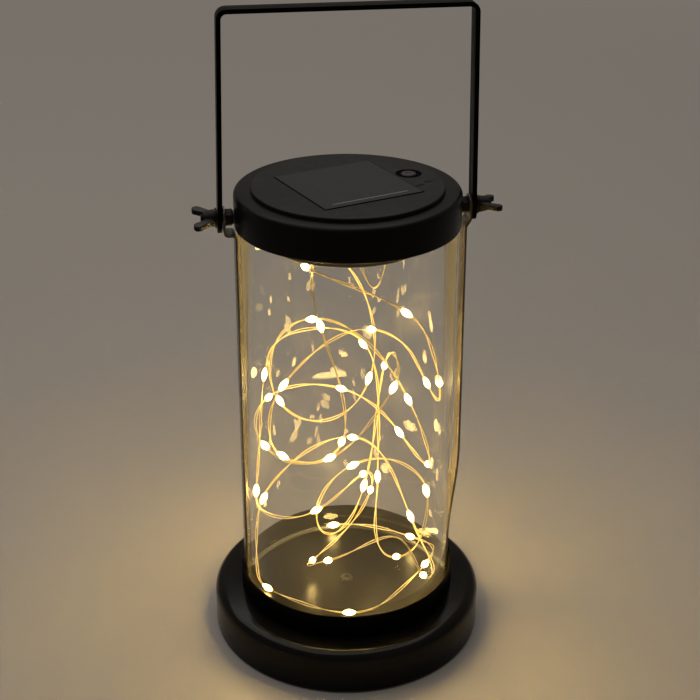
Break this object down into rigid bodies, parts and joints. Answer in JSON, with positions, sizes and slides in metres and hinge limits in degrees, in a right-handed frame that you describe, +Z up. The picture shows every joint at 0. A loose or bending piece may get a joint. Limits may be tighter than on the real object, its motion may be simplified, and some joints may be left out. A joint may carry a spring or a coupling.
{
  "type": "led lantern",
  "caption": "Solar jar lantern: a glass cylinder on a flanged foot, a lid with a solar module and button, a swinging bail on wing nuts and a light string inside.",
  "frame": {"origin": "on the ground, under the middle of the foot", "axes": "+Z up; X along the line of the two bail pivots; the button is on the +X side"},
  "size_m": [0.139, 0.133, 0.3106],
  "materials": {
    "satin_black_steel": "satin black powder coat",
    "black_hardware": "black oxide, slightly worn",
    "soft_rubber": "matt black rubber",
    "clear_glass": "clear, smooth",
    "module_plastic": "fine matt texture",
    "panel_face": "dark cells with fine lines",
    "button_rubber": "soft matt rubber",
    "board_laminate": "green laminate",
    "cell_sleeve": "plain green sleeve",
    "zinc_steel": "zinc plated",
    "copper_wire": "bare thin wire with clear resin drops"
  },
  "bodies": {
    "lantern_body": {"base_foot": "satin_black_steel", "base_cup": "satin_black_steel", "base_rivet": "zinc_steel", "base_bottom_plate": "satin_black_steel", "foot_pad_1": "soft_rubber", "foot_pad_2": "soft_rubber", "foot_pad_3": "soft_rubber", "foot_pad_4": "soft_rubber", "glass_seat": "soft_rubber", "glass_cylinder": "clear_glass", "lid_gasket": "soft_rubber", "lid_cap": "satin_black_steel", "module_housing": "module_plastic", "solar_panel": "panel_face", "button_ring": "button_rubber", "switch_body": "module_plastic", "circuit_board": "board_laminate", "battery_holder": "module_plastic", "battery_cell": "cell_sleeve", "contact_spring": "zinc_steel", "contact_plate": "zinc_steel", "module_cover": "module_plastic", "cover_screw_1": "zinc_steel", "cover_screw_2": "zinc_steel", "cover_screw_3": "zinc_steel", "lead_grommet": "soft_rubber", "light_string": "copper_wire", "pivot_stud_left": "zinc_steel", "pivot_stud_right": "zinc_steel", "spacer_nut_left": "black_hardware", "spacer_nut_right": "black_hardware", "strap_left": "black_hardware", "strap_right": "black_hardware"},
    "bail": {"bail_handle": "black_hardware"},
    "button": {"push_button": "button_rubber"},
    "washer_right": {"washer_right": "black_hardware"},
    "wing_right": {"wing_nut_right": "black_hardware"},
    "washer_left": {"washer_left": "black_hardware"},
    "wing_left": {"wing_nut_left": "black_hardware"}
  },
  "joints": [
    {"name": "bail_swing", "type": "hinge", "parent": "lantern_body", "child": "bail", "pos_m": [0, 0, 0.2184], "axis": [1, 0, 0], "range_deg": [-142, 142]},
    {"name": "button_press", "type": "slide", "parent": "lantern_body", "child": "button", "axis": [0, 0, -1], "range_m": [0, 0.0012], "stiffness_N_per_m": 300, "springref_m": -0.001},
    {"name": "washer_right_shift", "type": "slide", "parent": "lantern_body", "child": "washer_right", "axis": [1, 0, 0], "range_m": [0, 0.0021]},
    {"name": "wing_right_turn", "type": "hinge", "parent": "washer_right", "child": "wing_right", "pos_m": [0.0625, 0, 0.2184], "axis": [1, 0, 0], "range_deg": [0, 1100]},
    {"name": "washer_left_shift", "type": "slide", "parent": "lantern_body", "child": "washer_left", "axis": [-1, 0, 0], "range_m": [0, 0.0021]},
    {"name": "wing_left_turn", "type": "hinge", "parent": "washer_left", "child": "wing_left", "pos_m": [-0.0625, 0, 0.2184], "axis": [-1, 0, 0], "range_deg": [0, 1100]}
  ],
  "couplings": [
    {"joint": "wing_right_turn", "follows": "washer_right_shift", "rad_per_m": 8976},
    {"joint": "wing_left_turn", "follows": "washer_left_shift", "rad_per_m": 8976}
  ]
}
